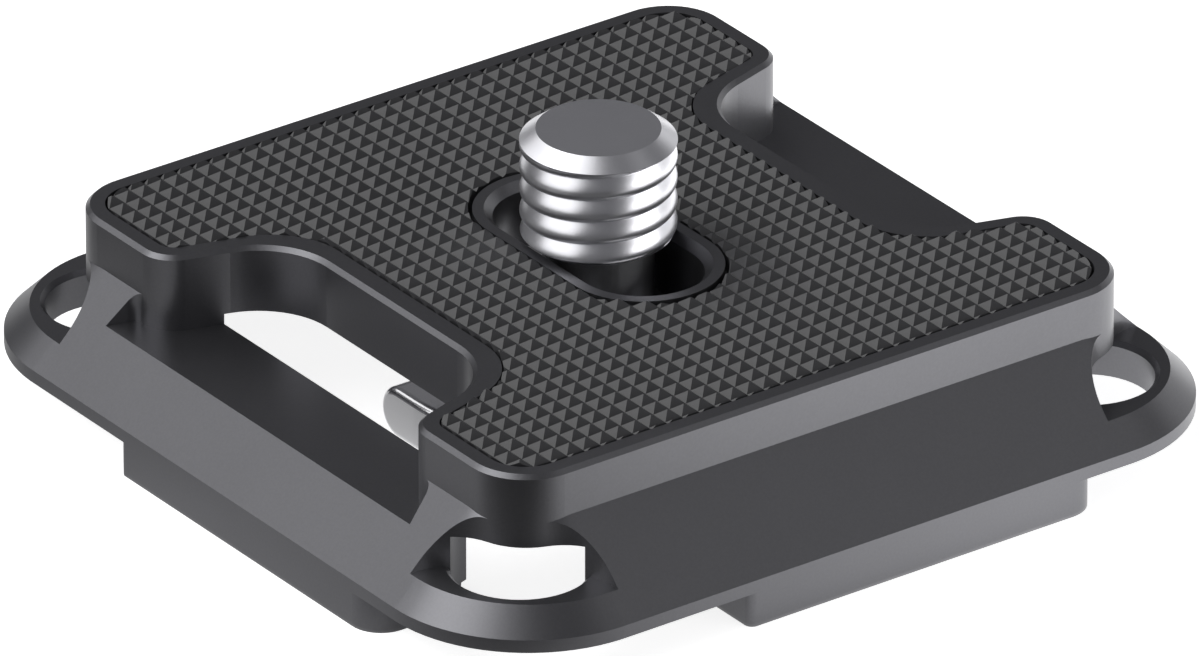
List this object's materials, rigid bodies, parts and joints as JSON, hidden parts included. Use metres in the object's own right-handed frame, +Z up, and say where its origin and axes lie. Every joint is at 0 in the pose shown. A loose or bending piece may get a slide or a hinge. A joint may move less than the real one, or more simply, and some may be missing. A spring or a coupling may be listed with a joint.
{
  "type": "tripod quick release plate",
  "caption": "Small square dovetail plate with a rubber grip pad, a sliding captive camera screw, a folding ring, strap slots in its sides and lanyard holes at its corners.",
  "frame": {"origin": "middle of the plate in plan, on the surface that its foot pads stand on", "axes": "+Z up through the camera screw; +X to the right along the front side; -Y is the front side, so the camera screw's slot runs along Y and the strap slots are at the left and right, -X and +X"},
  "size_m": [0.038, 0.038, 0.0125],
  "materials": {
    "anodised_aluminium": "bead-blasted, anodised black",
    "grip_rubber": "matte, moulded pyramids",
    "bright_steel": "turned and polished",
    "ring_steel": "polished",
    "washer_nylon": "plain black"
  },
  "bodies": {
    "plate": {"plate_body": "anodised_aluminium", "grip_pad": "grip_rubber"},
    "washer": {"screw_washer": "washer_nylon"},
    "screw": {"camera_screw": "bright_steel"},
    "ring": {"d_ring": "ring_steel", "ring_pin": "ring_steel"}
  },
  "joints": [
    {"name": "screw_slide", "type": "slide", "parent": "plate", "child": "washer", "axis": [0, 1, 0], "range_m": [-0.0032, 0.0032]},
    {"name": "screw_spin", "type": "hinge", "parent": "washer", "child": "screw", "pos_m": [0, 0, 0.0044], "axis": [0, 0, 1], "continuous": true},
    {"name": "ring_fold", "type": "hinge", "parent": "screw", "child": "ring", "pos_m": [0, 0, 0.0026], "axis": [1, 0, 0], "range_deg": [0, 180]}
  ]
}
